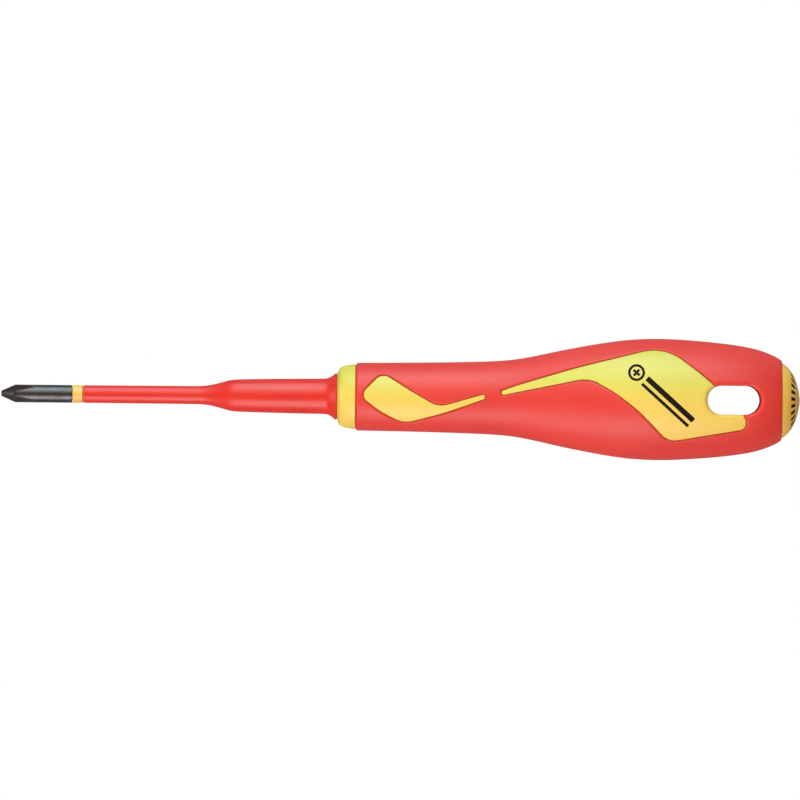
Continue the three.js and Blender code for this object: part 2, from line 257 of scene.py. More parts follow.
def round_ended(centre, half_length, radius, spacing):
    """A slot's outline along x, with round ends. A half length of the radius makes a circle."""
    signs = ((-1, -1), (1, -1), (1, 1), (-1, 1))
    corners = [(centre + sx * half_length, sy * radius, radius * 0.9999) for sx, sy in signs]
    return rounded_path(corners, spacing)


def slot_path(margin, spacing):
    """The hanging slot's outline, grown by a margin."""
    return round_ended(SLOT_CENTRE, SLOT_LENGTH / 2 + margin, SLOT_WIDTH / 2 + margin, spacing)


def eased(line, reach):
    """A line (x, radius) with each radius averaged over a reach to both sides, less at its ends."""
    step = 0.3
    stations = np.append(np.arange(line[0, 0], line[-1, 0], step), line[-1, 0])
    room = np.minimum(stations - line[0, 0], line[-1, 0] - stations)
    spread = np.minimum(room / 3, reach)[:, None] * np.linspace(-1, 1, 9)
    radii = np.interp(stations[:, None] + spread, *line.T).mean(axis=1)
    return np.column_stack((stations, radii))


def anticlockwise(outline):
    x, y = outline.T
    area = (x * np.roll(y, -1) - y * np.roll(x, -1)).sum()
    return outline if area > 0 else outline[::-1]


def moved_out(outline, distance):
    """A closed outline with every point moved out by a distance."""
    outline = anticlockwise(outline)
    before = outline - np.roll(outline, 1, axis=0)
    after = np.roll(outline, -1, axis=0) - outline
    before /= np.linalg.norm(before, axis=1)[:, None]
    after /= np.linalg.norm(after, axis=1)[:, None]
    side = np.stack((before[:, 1] + after[:, 1], -before[:, 0] - after[:, 0]), axis=1)
    agree = 1 + (before * after).sum(axis=1)
    return outline + side * (distance / np.maximum(agree, 0.2))[:, None]


def nearest(points, outline, inside):
    """Each point's distance to a closed outline, and the unit direction towards it. inside says on
    which side of the outline the points lie, which settles the direction on the outline itself."""
    a = anticlockwise(outline)
    span = np.roll(a, -1, axis=0) - a
    length = np.linalg.norm(span, axis=1)
    normal = np.stack((span[:, 1], -span[:, 0]), axis=1) / length[:, None]
    normal *= 1 if inside else -1
    distances, directions = [], []
    chunk = 1500
    for start in range(0, len(points), chunk):
        p = points[start : start + chunk, None, :]
        t = np.clip(((p - a) * span).sum(axis=2) / length**2, 0, 1)
        away = a + t[..., None] * span - p
        far = np.linalg.norm(away, axis=2)
        pick = far.argmin(axis=1)
        rows = np.arange(len(pick))
        distance = far[rows, pick]
        towards = away[rows, pick] / np.maximum(distance, 1e-6)[:, None]
        on_it = distance < 4e-3
        distances.append(distance)
        directions.append(np.where(on_it[:, None], normal[pick], towards))
    return np.concatenate(distances), np.concatenate(directions)


def within(points, outline):
    """True for each point inside a closed outline."""
    a, b = outline, np.roll(outline, -1, axis=0)
    x, y = points[:, 0, None], points[:, 1, None]
    crosses = (a[:, 1] > y) != (b[:, 1] > y)
    rise = np.where(a[:, 1] != b[:, 1], b[:, 1] - a[:, 1], 1)
    at = a[:, 0] + (y - a[:, 1]) * (b[:, 0] - a[:, 0]) / rise
    return (crosses & (x < at)).sum(axis=1) % 2 == 1


def runs(path, kept):
    """The stretches of two or more points of a path that are kept."""
    turns = np.flatnonzero(kept[1:] != kept[:-1]) + 1
    stretches = zip(np.split(path, turns), np.split(kept, turns))
    return [stretch for stretch, keep in stretches if keep[0] and len(stretch) > 1]


def edge_guides(outline, radius, outwards):
    """Lines beside an outline on which a rounded edge needs points."""
    steps = 4
    lines = []
    for k in range(steps):
        offset = radius * (1 - math.sin(math.pi / 2 * k / steps))
        path = moved_out(outline, offset if outwards else -offset)
        distance, _ = nearest(path, outline, not outwards)
        kept = (distance > 0.97 * offset) & (within(path, outline) != outwards)
        lines.extend(runs(np.concatenate((path, path[:1])), np.append(kept, kept[0])))
    return lines


def triangulate(loops, lines, loose):
    """Triangles over closed loops, open lines and loose points, which keep every loop and line."""
    points, edges = [], []
    for path, closed in [(p, True) for p in loops] + [(p, False) for p in lines]:
        first = len(points)
        points.extend(path)
        edges.extend((first + i, first + i + 1) for i in range(len(path) - 1))
        if closed:
            edges.append((first + len(path) - 1, first))
    points.extend(loose)
    made = geometry.delaunay_2d_cdt([Vector(p) for p in points], edges, [], 0, 1e-4)
    corners = np.array([v[:] for v in made[0]])
    triangles = np.array(made[2])
    a, b, c = (corners[triangles[:, i]] for i in range(3))
    area = (b[:, 0] - a[:, 0]) * (c[:, 1] - a[:, 1]) - (b[:, 1] - a[:, 1]) * (c[:, 0] - a[:, 0])
    triangles[area < 0] = triangles[area < 0][:, ::-1]
    return corners, triangles[abs(area) > 1e-9]


def grid_clear_of(paths, distance):
    """A staggered grid over the paths' box, without the points that are too close to a path."""
    taken = np.concatenate(paths)
    tree = kdtree.KDTree(len(taken))
    for i, (x, y) in enumerate(taken):
        tree.insert((x, y, 0), i)
    tree.balance()
    low, high = taken.min(axis=0), taken.max(axis=0)
    points = []
    for row, y in enumerate(np.arange(low[1], high[1], GRID * math.sqrt(3) / 2)):
        for x in np.arange(low[0] + GRID / 2 * (row % 2), high[0], GRID):
            if tree.find((x, y, 0))[2] >= distance:
                points.append((x, y))
    return points


# ---- The handle's surface ----


def silhouette(node):
    """A turned CAD node's outline (x, radius), from its outer points level with the axis."""
    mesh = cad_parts[node].data
    points = np.array([v.co for v in mesh.vertices]) / MM
    facing = np.array([v.normal for v in mesh.vertices])
    level = points[(abs(points[:, 2]) < 1e-3) & (points[:, 1] > 0) & (facing[:, 1] > 0.05)]
    stations = np.unique(np.round(level[:, 0], 2))
    near = [level[abs(level[:, 0] - x) < 0.01] for x in stations]
    return np.array([(x, group[:, 1].max()) for x, group in zip(stations, near)])


grip_outline = silhouette("grip")
GRIP_START, GRIP_END = grip_outline[0, 0], grip_outline[-1, 0]
SKIN_START, SKIN_END = GRIP_START + FRONT_ROUND, GRIP_END - REAR_ROUND
grip_curve = spline(grip_outline[1:], 20) - (0, SKIN_INSET)


def handle_radius(x):
    return np.interp(x, *grip_curve.T)


def squash(x):
    """The handle's height against its width at x."""
    along = np.clip((np.asarray(x, float) - GRIP_START) / (GRIP_END - GRIP_START), 0, 1)
    return 1 - FLATNESS * np.sin(math.pi * along) ** 2


UNROLL = 12.0  # the working plane's second axis is the angle from the top times this


def to_domain(plan, depth=0):
    """Points seen from above, taken to the working plane of x and scaled angle."""
    sine = np.clip(plan[:, 1] / (handle_radius(plan[:, 0]) - depth), -1, 1)
    return np.stack((plan[:, 0], np.arcsin(sine) * UNROLL), axis=1)


def to_plan(domain, depth=0):
    """Points of the working plane as seen from above."""
    radius = handle_radius(domain[:, 0]) - depth
    return np.stack((domain[:, 0], radius * np.sin(domain[:, 1] / UNROLL)), axis=1)


def skin_normals(domain, depth):
    """The handle surface's outward normals at points of the working plane."""
    x, angle = domain[:, 0], domain[:, 1] / UNROLL
    reach = 0.6
    low, high = np.maximum(x - reach, SKIN_START), np.minimum(x + reach, GRIP_END)
    wide = [handle_radius(at) - depth for at in (low, x, high)]
    tall = [radius * squash(at) for radius, at in zip(wide, (low, x, high))]
    widening = (wide[2] - wide[0]) / (high - low)
    rising = (tall[2] - tall[0]) / (high - low)
    sine, cosine = np.sin(angle), np.cos(angle)
    forward = -tall[1] * widening * sine**2 - wide[1] * rising * cosine**2
    normals = np.stack((forward, tall[1] * sine, wide[1] * cosine), axis=1)
    return normals / np.linalg.norm(normals, axis=1)[:, None]


def rounded_over(plan, outline, radius, inside):
    """How far a rounded edge along an outline sinks each point, and how its normal leans there."""
    distance, direction = nearest(plan, outline, inside)
    sine = np.clip(1 - distance / radius, 0, 1)
    sink = radius * (1 - np.sqrt(1 - sine**2))
    steepest = 0.998
    sine = np.minimum(sine, steepest)
    lean = (sine / np.sqrt(1 - sine**2))[:, None] * direction
    return sink, lean


def whole_surface(low, high):
    """The working plane's outline for the upper half of the handle between two stations."""
    side = math.pi / 2 * UNROLL
    corners = [(low, -side, 0), (high, -side, 0), (high, side, 0), (low, side, 0)]
    return rounded_path(corners, GRID)


class Sheet:
    """One half of a piece of the handle's skin, as triangles in the working plane. The loops and
    lines are given there too."""

    def __init__(self, loops, lines, depth=0):
        self.depth = depth
        loose = grid_clear_of(loops + lines, 0.6 * GRID)
        self.domain, self.triangles = triangulate(loops, lines, loose)
        self.centres = self.domain[self.triangles].mean(axis=1)

    def inside(self, outline):
        """True for each triangle inside an outline that is given in plan."""
        return within(self.centres, to_domain(outline, self.depth))

    def keep(self, kept, through, ink=None):
        """Drops the other triangles. The through ones are solid down to the middle plane, and the
        rest down to a floor under the skin. The ink ones are printed."""
        self.triangles = self.triangles[kept]
        self.through = through[kept]
        self.ink = np.zeros(len(self.triangles), bool) if ink is None else ink[kept]
        used, numbers = np.unique(self.triangles, return_inverse=True)
        self.domain = self.domain[used]
        self.triangles = numbers.reshape(self.triangles.shape)

    def half(self, edges, floor, open_ends=()):
        """A Half with the sheet's faces, sunk beside the edges (outline, radius, inside). Point i is
        on top, i + n on the floor and i + 2 n on the middle plane. It has no walls at its open ends
        and at the middle plane."""
        n = len(self.domain)
        top, normals, floor_points = self.heights(edges, floor)
        middle = top * (1, 1, 0)
        half = Half(np.concatenate((top, floor_points, middle)))
        half.normals[:n] = normals
        half.add(self.triangles, skin=True, ink=self.ink)
        half.add(self.triangles[~self.through][:, ::-1] + n)
        owner = {}
        for t, (a, b, c) in enumerate(self.triangles.tolist()):
            for edge in ((a, b), (b, c), (c, a)):
                owner[edge] = t
        ends = [set(self.end_row(x)) for x in open_ends]
        at_floor = set(self.triangles[~self.through].ravel())
        for (a, b), t in owner.items():
            other = owner.get((b, a))
            level = 2 * n if self.through[t] else n
            bare = top[a, 2] == top[b, 2] == 0 or any(a in end and b in end for end in ends)
            if other is None and not bare:
                down, up = ([i + n] if level > n and i in at_floor else [] for i in (a, b))
                half.add([(a, *down, a + level, b + level, *up, b)])
            elif other is not None and self.through[t] and not self.through[other]:
                half.add([(a + n, a + level, b + level, b + n)])
        return half

    def heights(self, edges, floor):
        """The points on top with their normals, and the points on the floor."""
        plan = to_plan(self.domain, self.depth)
        outer = handle_radius(plan[:, 0]) - self.depth
        normals = skin_normals(self.domain, self.depth)
        height = squash(plan[:, 0]) * outer * np.cos(self.domain[:, 1] / UNROLL)
        for outline, radius, inside in edges:
            sink, lean = rounded_over(plan, outline, radius, inside)
            height -= np.where(height > radius, sink, 0)
            normals[:, :2] += normals[:, 2:] * lean
        height[abs(height) < 1e-5] = 0
        normals /= np.linalg.norm(normals, axis=1)[:, None]
        return np.column_stack((plan, height)), normals, self.under(plan, outer, floor)

    def under(self, plan, outer, floor):
        """Points below the skin's, drawn in near the sides, where the floor is narrower."""
        inner = outer + self.depth - floor
        straight = 0.95 * inner
        reach = abs(plan[:, 1])
        share = np.clip((reach - straight) / (outer - straight), 0, 1)
        across = np.where(reach > straight, straight + share * (inner - straight), reach)
        height = squash(plan[:, 0]) * np.sqrt(np.maximum(inner**2 - across**2, 0))
        height[height < 1e-3] = 0
        return np.column_stack((plan[:, 0], np.sign(plan[:, 1]) * across, height))

    def end_row(self, x):
        """The points at a station at one end of the sheet, in order across it."""
        row = np.flatnonzero(abs(self.domain[:, 0] - x) < 1e-3)
        return row[np.argsort(self.domain[row, 1])]


class Half:
    """Points and faces on the upper half of the handle, with normals for its outer skin."""

    def __init__(self, points):
        self.points = np.asarray(points, float)
        self.normals = np.zeros_like(self.points)
        self.faces, self.skin, self.ink = [], [], []

    def add(self, faces, skin=False, ink=None):
        self.faces.extend([int(i) for i in f] for f in faces)
        self.skin.extend([skin] * len(faces))
        self.ink.extend([False] * len(faces) if ink is None else ink)

    def ring(self, x, radius, angles, round_section=False):
        """New points round the axis at x, one for each angle from the top."""
        first = len(self.points)
        height = radius * np.cos(angles) * (1 if round_section else squash(x))
        height[abs(height) < 1e-5] = 0
        made = np.column_stack((np.full(len(angles), x), radius * np.sin(angles), height))
        self.points = np.concatenate((self.points, made))
        self.normals = np.concatenate((self.normals, np.zeros_like(made)))
        return np.arange(first, first + len(angles))

    def angles(self, row):
        """The angles from the top of a row of points."""
        x, across, height = self.points[row].T
        return np.arctan2(across, height / squash(x))

    def bridge(self, rows):
        """Faces between rows of points that run across the handle. Outside, they go rearwards."""
        for one, two in zip(rows[:-1], rows[1:]):
            for a, b, c, d in zip(one[:-1], two[:-1], two[1:], one[1:]):
                self.add([list(dict.fromkeys((a, b, c, d)))])

    def mirrored(self):
        """The whole piece: this half and its mirror image, joined at the middle plane."""
        points, normals, faces = self.compact()
        shared = points[:, 2] == 0
        twin = np.where(shared, np.arange(len(points)), len(points) + np.cumsum(~shared) - 1)
        flip = np.array((1, 1, -1))
        points = np.concatenate((points, points[~shared] * flip))
        normals = np.concatenate((normals, normals[~shared] * flip))
        faces = faces + [[twin[i] for i in f][::-1] for f in faces]
        return points, normals, faces, self.skin * 2, self.ink * 2

    def compact(self):
        """Points, normals and faces without the unused points."""
        used = np.unique([i for f in self.faces for i in f])
        number = np.full(len(self.points), -1)
        number[used] = np.arange(len(used))
        return self.points[used], self.normals[used], [[number[i] for i in f] for f in self.faces]


# ---- Making objects ----


def make_piece(name, points, faces, materials, slot, stands_for):
    """A Blender object of a closed mesh given in millimetres, riding on the tool's one body."""
    mesh = bpy.data.meshes.new(name)
    mesh.from_pydata((np.asarray(points) * MM).tolist(), [], [[int(i) for i in f] for f in faces])
    mesh.polygons.foreach_set("use_smooth", [True] * len(mesh.polygons))
    crease = math.radians(35)
    mesh.set_sharp_from_angle(angle=crease)
    for material in materials:
        mesh.materials.append(material)
    piece = bpy.data.objects.new(name, mesh)
    bpy.context.scene.collection.objects.link(piece)
    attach(piece, BODY)
    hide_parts(stands_for)
    return piece


def paint(piece, ink):
    """Gives a piece's printed faces its second material."""
    piece.data.polygons.foreach_set("material_index", np.array(ink, np.int32))


def make_skin(name, parts, materials, slot, stands_for):
    """A piece from a Half's parts, with the skin's exact normals and its printed faces."""
    points, normals, faces, skin, ink = parts
    piece = make_piece(name, points, faces, materials, slot, stands_for)
    paint(piece, ink)
    exact = [normals[i] if is_skin else (0, 0, 0) for f, is_skin in zip(faces, skin) for i in f]
    piece.data.normals_split_custom_set([tuple(map(float, n)) for n in exact])
    return piece


def paint_joint_shade(piece, start, end):
    """Gives a piece's faces between two stations a dark red: painted shade in a joint's groove."""
    piece.data.materials.append(PAINTED_JOINT_SHADE)
    for face in piece.data.polygons:
        if start < face.center.x / MM < end:
            face.material_index = len(piece.data.materials) - 1


def ribbed(span, count, radius, height):
    """Evenly spaced square ribs on a turned profile."""
    start, end = span
    pitch = (end - start) / count
    profile = []
    for i in range(count):
        rise, fall = start + (i + 0.3) * pitch, start + (i + 0.7) * pitch
        profile += [(rise, radius), (rise, radius + height), (fall, radius + height), (fall, radius)]
    return profile


def spigot(margin):
    """The second insulation layer's spigot inside the handle."""
    base = SPIGOT_RADIUS - SPIGOT_GROOVE + margin
    ribs = ribbed(SPIGOT_SPAN, SPIGOT_RIBS, base, SPIGOT_GROOVE)
    return [(SPIGOT_SPAN[0], SPIGOT_RADIUS + margin), *ribs]


# ---- Materials ----


class Look:
    """A procedural material round one Principled shader. Its patterns lie in the part's own frame."""

    def __init__(self, name, **values):
        self.material = bpy.data.materials.new(name)
        self.material.use_nodes = True
        self.tree = self.material.node_tree
        self.shader = self.tree.nodes["Principled BSDF"]
        for socket, value in values.items():
            self.shader.inputs[socket.replace("_", " ")].default_value = value
        self.place = self.node("ShaderNodeTexCoord").outputs["Object"]

    def node(self, kind, **inputs):
        node = self.tree.nodes.new(kind)
        for name, value in inputs.items():
            socket = node.inputs[name.replace("_", " ")]
            if isinstance(value, bpy.types.NodeSocket):
                self.tree.links.new(value, socket)
            else:
                socket.default_value = value
        return node

    def noise(self, size, stretch=(1, 1, 1), detail=2.0):
        """A noise pattern with grains of a size in millimetres, drawn out along the axes."""
        scale = [1 / s for s in stretch]
        place = self.node("ShaderNodeMapping", Vector=self.place, Scale=scale)
        grain = self.node("ShaderNodeTexNoise", Vector=place.outputs[0], Detail=detail)
        grain.inputs["Scale"].default_value = 1 / (size * MM)
        return grain.outputs[0]

    def cells(self, size):
        """Distance from the middle of the nearest cell, for a pitted or pebbled skin."""
        pebbles = self.node("ShaderNodeTexVoronoi", Vector=self.place, Scale=1 / (size * MM))
        return pebbles.outputs["Distance"]

    def tinted(self, pattern, low, high, first, second):
        """Colours the surface from the first colour to the second as the pattern goes low to high."""
        factor = self.node("ShaderNodeMapRange", Value=pattern, From_Min=low, From_Max=high)
        mix = self.tree.nodes.new("ShaderNodeMix")
        mix.data_type = "RGBA"
        a, b = (s for s in mix.inputs if s.type == "RGBA")
        a.default_value, b.default_value = (*first, 1), (*second, 1)
        self.tree.links.new(factor.outputs[0], mix.inputs[0])
        colour = next(s for s in mix.outputs if s.type == "RGBA")
        self.tree.links.new(colour, self.shader.inputs["Base Color"])
        return self

    def roughened(self, pattern, low, high):
        """Lets the roughness follow the pattern between two values."""
        span = self.node(
            "ShaderNodeMapRange", Value=pattern, From_Min=0.3, From_Max=0.7, To_Min=low, To_Max=high
        )
        self.tree.links.new(span.outputs[0], self.shader.inputs["Roughness"])
        return self

    def embossed(self, pattern, depth):
        """Adds relief of a depth in millimetres that follows the pattern."""
        normal = self.shader.inputs["Normal"]
        bump = self.node("ShaderNodeBump", Height=pattern, Distance=depth * MM)
        if normal.links:
            self.tree.links.new(normal.links[0].from_socket, bump.inputs["Normal"])
        self.tree.links.new(bump.outputs[0], normal)
        return self


def steel_look():
    """Dark hardened steel with fine turning marks round it and a few scratches along it."""
    look = Look("dark_steel", Metallic=0.85)
    marks = look.noise(0.05, stretch=(1, 40, 40))
    scratches = look.noise(0.06, stretch=(60, 1, 1), detail=4.0)
    stain = look.noise(2.5, detail=4.0)
    look.tinted(stain, 0.3, 0.7, (0.055, 0.06, 0.063), (0.088, 0.096, 0.1))
    look.roughened(scratches, 0.27, 0.4)
    return look.embossed(marks, 0.004).embossed(scratches, 0.003).material


def sleeve_look(name, dark, light):
    """Moulded insulation: glossy, with a slight orange peel and flow marks along the blade."""
    look = Look(name)
    flow = look.noise(1.6, stretch=(8, 1, 1), detail=3.0)
    peel = look.noise(0.55)
    look.tinted(flow, 0.3, 0.7, dark, light)
    look.roughened(flow, 0.36, 0.44)
    return look.embossed(peel, 0.012).material


def grip_look():
    """Soft-touch skin: a fine pebbled grain, slightly uneven in tone."""
    look = Look("red_soft_touch", Sheen_Weight=0.08, Sheen_Roughness=0.4)
    pebbles = look.cells(0.32)
    grain = look.noise(0.14, detail=3.0)
    tone = look.noise(7.0, stretch=(3, 1, 1), detail=4.0)
    look.tinted(tone, 0.3, 0.7, (0.69, 0.041, 0.033), (0.76, 0.05, 0.039))
    look.roughened(grain, 0.43, 0.53)
    return look.embossed(pebbles, 0.012).embossed(grain, 0.006).material


def plastic_look(name, dark, light, rough=0.34):
    """Hard moulded plastic: satin, with fine spark-erosion texture and faint flow clouds."""
    look = Look(name)
    clouds = look.noise(5.0, stretch=(2.5, 1, 1), detail=4.0)
    look.tinted(clouds, 0.3, 0.7, dark, light)
    return satin(look, rough)


def side_lit_tint_look(name, lower, upper, rough):
    """Moulded plastic with painted light: its colour turns from one tone to another across the tool, as
    if +Y were lit by another lamp.
    """
    look = Look(name)
    clouds = look.noise(5.0, stretch=(2.5, 1, 1), detail=4.0)
    across = look.node("ShaderNodeSeparateXYZ", Vector=look.place).outputs["Y"]
    wavy = look.node("ShaderNodeMath")
    wavy.operation = "MULTIPLY_ADD"
    look.tree.links.new(clouds, wavy.inputs[0])
    wavy.inputs[1].default_value = LIGHT_TINT_WAVE * MM
    look.tree.links.new(across, wavy.inputs[2])
    start, end = (y + LIGHT_TINT_WAVE / 2 for y in LIGHT_TINT_SPAN)
    look.tinted(wavy.outputs[0], start * MM, end * MM, lower, upper)
    return satin(look, rough)


def satin(look, rough):
    """Gives a plastic its fine texture and its sheen."""
    texture = look.noise(0.12, detail=3.0)
    look.roughened(texture, rough - 0.04, rough + 0.06)
    return look.embossed(texture, 0.004).embossed(look.noise(1.1), 0.01).material


def ink_look():
    """Printed mark: thin matte black with tiny pinholes that show some of the yellow."""
    look = Look("black_print", Specular_IOR_Level=0.12)
    specks = look.noise(0.09, detail=3.0)
    look.tinted(specks, 0.66, 0.74, (0.008, 0.006, 0.005), (0.35, 0.22, 0.05))
    look.roughened(specks, 0.6, 0.75)
    return look.embossed(specks, 0.002).material


STEEL = steel_look()
# Both yellows carry painted light: their colour is greener on the +Y side, as if lit there by a cooler
# lamp.
BAND_YELLOW = side_lit_tint_look("yellow_insulation", (0.82, 0.52, 0.13), (0.82, 0.72, 0.14), rough=0.37)
SLEEVE_RED = sleeve_look("red_insulation", (0.67, 0.022, 0.014), (0.74, 0.029, 0.018))
PANEL_YELLOW = side_lit_tint_look("yellow_plastic", (0.85, 0.685, 0.125), (0.66, 0.7, 0.1), rough=0.42)
CAP_YELLOW = plastic_look("ochre_plastic", (0.9, 0.64, 0.1), (0.96, 0.7, 0.11))
NATURAL = plastic_look("natural_plastic", (0.58, 0.53, 0.42), (0.66, 0.61, 0.49), rough=0.5)
GRIP_RED = grip_look()
INK = ink_look()
# Painted shade: a dark red for the floors of the joints' grooves, which the lamps leave lit.
PAINTED_JOINT_SHADE = plastic_look("joint_shade_paint", (0.4, 0.024, 0.008), (0.5, 0.032, 0.011), rough=0.6)

# ---- The blade and its insulation ----


def loft(rings, closed):
    """Points and faces over rings of points, which run rearwards on the outside. A ring may be one
    point on the axis. A closed loft joins its last ring to its first."""
    sides = max(len(ring) for ring in rings)
    starts = np.cumsum([0] + [len(ring) for ring in rings])
    rows = [[first + i % len(ring) for i in range(sides)] for first, ring in zip(starts, rings)]
    if closed:
        rows.append(rows[0])
    faces = []
    for one, two in zip(rows[:-1], rows[1:]):
        for i in range(sides):
            j = (i + 1) % sides
            faces.append(list(dict.fromkeys((one[i], two[i], two[j], one[j]))))
    return np.concatenate(rings), faces


def ring_of(x, radius, angles):
    """Points round the axis at x, with the angles measured from the top."""
    radius = np.broadcast_to(radius, angles.shape)
    return np.column_stack((np.full(len(angles), x), radius * np.sin(angles), radius * np.cos(angles)))


def turned(profile, sides):
    """Points and faces of a solid turned round the X axis. The profile (x, radius) runs rearwards on
    the outside, and starts and ends on the axis or closes on itself."""
    angles = 2 * math.pi * np.arange(sides) / sides
    rings = [ring_of(x, r, angles) if r > 1e-6 else np.array([(x, 0, 0)]) for x, r in profile]
    return loft(rings, closed=profile[0][1] > 1e-6)


SIDE_STEPS, LAND_STEPS = 5, 3  # points on a flute's side and on the land beside it


def flute_section(x, radius):
    """Radii and angles round the blade's tip at x, where four flutes lie between the wings."""
    climb = (BLADE_RADIUS - FLUTE_ROOT_RADIUS) * (x / FLUTE_LENGTH) ** 1.2
    fan = np.radians(np.linspace(0, 43, 400))
    softness = 0.1  # rounds the flute's root
    opening = np.cos(fan) - np.hypot(np.sin(fan), softness) + softness
    cut = (FLUTE_ROOT_RADIUS + climb) / opening
    crease = np.interp(radius, cut, fan)
    spread = math.pi / 4 * SIDE_STEPS / (SIDE_STEPS + LAND_STEPS)
    past_end = np.clip((x - FLUTE_LENGTH) / 3, 0, 1)
    crease = max(crease, spread * past_end, math.radians(0.5))
    side = np.linspace(0, crease, SIDE_STEPS, endpoint=False)
    land = np.linspace(crease, math.pi / 4, LAND_STEPS + 1)
    away = np.concatenate((side, land))
    away = np.concatenate((away[:0:-1], away[:-1]))
    steps = SIDE_STEPS + LAND_STEPS
    signs = np.repeat((-1, 1), steps)
    radii = np.minimum(radius, np.interp(away, fan, cut, right=radius))
    turns = math.pi / 2 * np.arange(4) + math.pi / 4
    return np.tile(radii, 4), np.concatenate([turn + signs * away for turn in turns])


def wing_section(half_width):
    """Radii and angles round the blade's tail, where two flat wings stand out."""
    meet = math.acos(WING_HALF_THICKNESS / TAIL_RADIUS)
    corner = math.atan2(WING_HALF_WIDTH, WING_HALF_THICKNESS)
    spans = ((0, meet, 8), (meet, corner, 3), (corner, math.pi / 2, 5))
    quarter = np.concatenate([np.linspace(a, b, n, endpoint=False) for a, b, n in spans])
    angles = np.concatenate((quarter, [math.pi / 2], math.pi - quarter[:0:-1]))
    angles = np.concatenate((angles, angles + math.pi))
    flat = WING_HALF_THICKNESS / np.maximum(abs(np.cos(angles)), 1e-6)
    end = half_width / np.maximum(abs(np.sin(angles)), 1e-6)
    return np.maximum(TAIL_RADIUS, np.minimum(flat, end)), angles


def blade():
    outline = rounded_path(BLADE, closed=False)
    fluted_end = 11
    front = outline[:, 0] <= fluted_end
    join = np.array([(fluted_end, BLADE_RADIUS)])
    tip = divided(np.vstack((outline[front][1:], join)), 0.25, closed=False)
    rings = [np.zeros((1, 3))]
    rings += [ring_of(x, *flute_section(x, radius)) for x, radius in tip]
    plain = 2 * math.pi * np.arange(len(rings[-1])) / len(rings[-1])
    start, end = WING_SPAN
    shank = outline[~front & (outline[:, 1] > 0)]
    rings += [ring_of(x, radius, plain) for x, radius in shank if x < start]
    tapers = (start, TAIL_RADIUS), (start + WING_TAPER, WING_HALF_WIDTH)
    tapers += (end - WING_TAPER, WING_HALF_WIDTH), (end, TAIL_RADIUS)
    rings += [ring_of(x, *wing_section(half_width)) for x, half_width in tapers]
    rings += [ring_of(x, radius, plain) for x, radius in shank if x > end]
    rings.append(np.array([(outline[-1, 0], 0, 0)]))
    make_piece("driver_blade", *loft(rings, closed=False), [STEEL], "steel", "blade")


def plain_corners(line, *clear_of):
    """A smooth line's points as unrounded corners, without those near a corner (x, radius, run)."""
    return [
        (x, radius, 0)
        for x, radius in line
        if all(math.hypot(x - a, radius - b) > run for a, b, run in clear_of)
    ]


def insulation():
    shape = turned(rounded_path(FIRST_LAYER), 96)
    names = "yellow_sleeve", "inner_insulation"
    piece = make_piece("first_insulation_layer", *shape, [BAND_YELLOW], *names)
    # Painted shade on the groove's floor behind the yellow band.
    paint_joint_shade(piece, *BAND_GROOVE)
    outline = silhouette("outer_insulation")
    (ramp_end, flange_radius), (flange_end, _) = FLANGE
    outline = outline[outline[:, 0] < ramp_end - 0.01]
    before_shoulder = outline[1] - (3.2, 0.01)
    line = spline(np.vstack((outline[:1], before_shoulder, outline[1:], FLANGE[:1])), 6)
    line = eased(line, SHOULDER_EASE)
    front = outline[0]
    bore_front, bore_rear = 1.8, 2.9
    lip_end = FRONT_GROOVE_END - HAIRLINE
    corners = [
        (front[0], bore_front, 0),
        (*front, 0.12),
        *plain_corners(line, (*front, 0.25), (*FLANGE[0], 0.1)),
        (*FLANGE[0], 0),
        (*FLANGE[1], 0.08),
        (flange_end, flange_radius - FRONT_GROOVE_DEPTH, 0),
        (lip_end, flange_radius - FRONT_GROOVE_DEPTH, 0),
        (lip_end, SPIGOT_RADIUS, 0),
        *plain_corners(spigot(0)),
        (SPIGOT_SPAN[1], SPIGOT_RADIUS - SPIGOT_GROOVE, 0),
        (SPIGOT_SPAN[1], bore_rear, 0),
        (54.0, bore_rear, 8),
        (48.0, bore_front, 8),
    ]
    shape = turned(rounded_path(corners), 128)
    names = "red_sleeve", "outer_insulation"
    piece = make_piece("second_insulation_layer", *shape, [SLEEVE_RED], *names)
    # Painted shade on the flange's lip, in the groove before the collar.
    paint_joint_shade(piece, flange_end, FRONT_GROOVE_END)


# ---- The handle ----


def collar():
    outline = silhouette("front_collar")
    front = np.array((FRONT_GROOVE_END, outline[0, 1]))
    rear = np.array((REAR_GROOVE_START, outline[-1, 1]))
    outline = spline(outline, 8)
    outline = outline[(outline[:, 0] > front[0]) & (outline[:, 0] < rear[0])]
    bore = NOSE_RADIUS + MOULD_GAP
    corners = [
        (front[0], bore, 0.1),
        (*front, 0.12),
        *plain_corners(outline, (*front, 0.15), (*rear, 0.3)),
        (*rear, 0.15),
        (rear[0], bore, 0.1),
    ]
    shape = turned(rounded_path(corners), 160)
    make_piece("front_collar_ring", *shape, [PANEL_YELLOW], "yellow_plastic", "front_collar")


